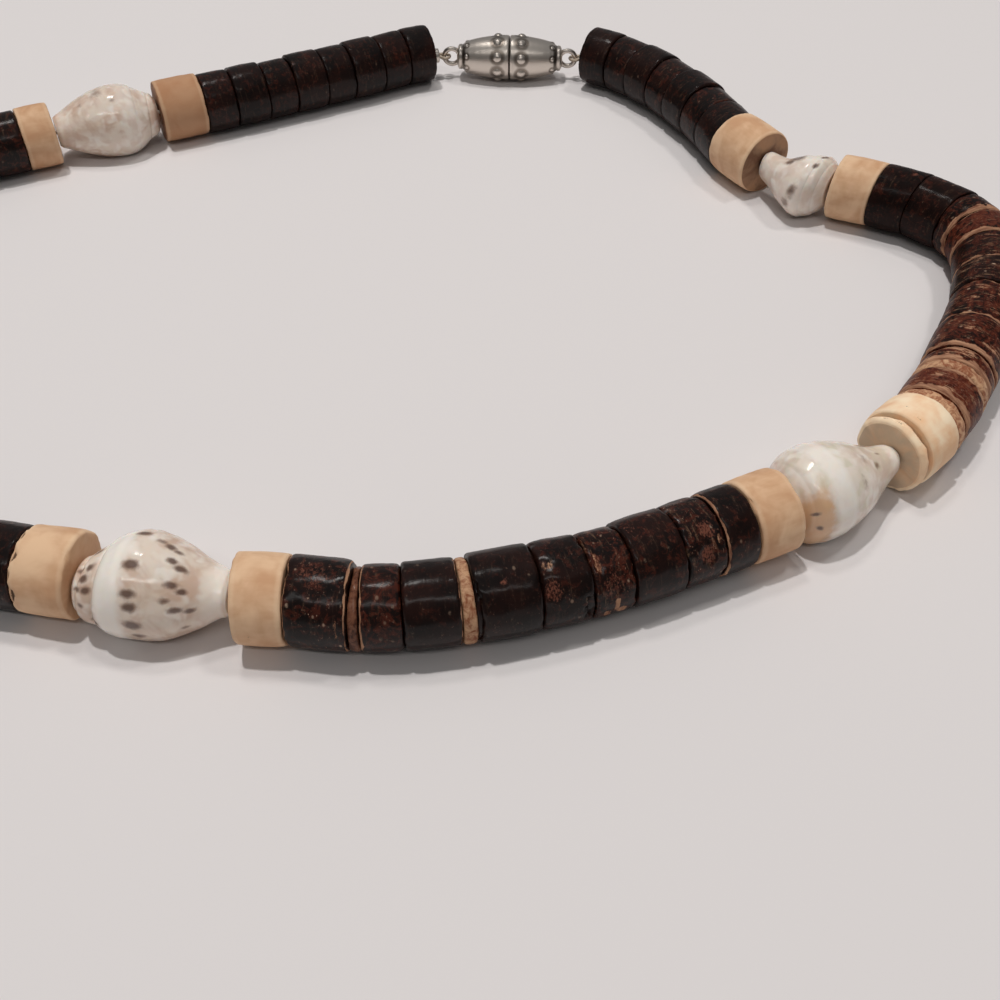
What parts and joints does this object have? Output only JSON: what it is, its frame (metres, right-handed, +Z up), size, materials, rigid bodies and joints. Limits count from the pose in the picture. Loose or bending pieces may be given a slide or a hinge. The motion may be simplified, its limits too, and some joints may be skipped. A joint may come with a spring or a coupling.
{
  "type": "shell choker necklace",
  "caption": "Beach choker: dark coconut disc beads and pale wood beads strung with spindle-shaped whelk shells on one thread, closed by a screw barrel clasp.",
  "frame": {"origin": "on the surface the choker lies on, under the middle of its outline's box", "axes": "+Z up; the clasp is on the +Y side, and +X is to the right seen from the open side the picture was taken from"},
  "size_m": [0.1616, 0.1172, 0.0093],
  "materials": {
    "coconut": "polished dark coconut shell",
    "wood": "smooth pale wood",
    "shell": "glossy cream shell with brown dots",
    "silver": "worn silver plate",
    "thread": "waxed cord"
  },
  "bodies": {
    "root": {"thread": "thread", "clasp_socket": "silver", "clasp_screw": "silver", "crimp_right": "silver", "crimp_left": "silver", "coco_run_1": "coconut", "wood_1": "wood", "shell_1": "shell", "wood_2": "wood", "coco_run_2": "coconut", "wood_3": "wood", "wood_disc": "wood", "shell_2": "shell", "wood_4": "wood", "coco_run_3": "coconut", "wood_5": "wood", "shell_3": "shell", "wood_6": "wood", "coco_run_4": "coconut", "wood_7": "wood", "shell_4": "shell", "wood_8": "wood", "coco_run_5": "coconut", "wood_9": "wood", "shell_5": "shell", "wood_10": "wood", "coco_run_6": "coconut"}
  },
  "joints": []
}
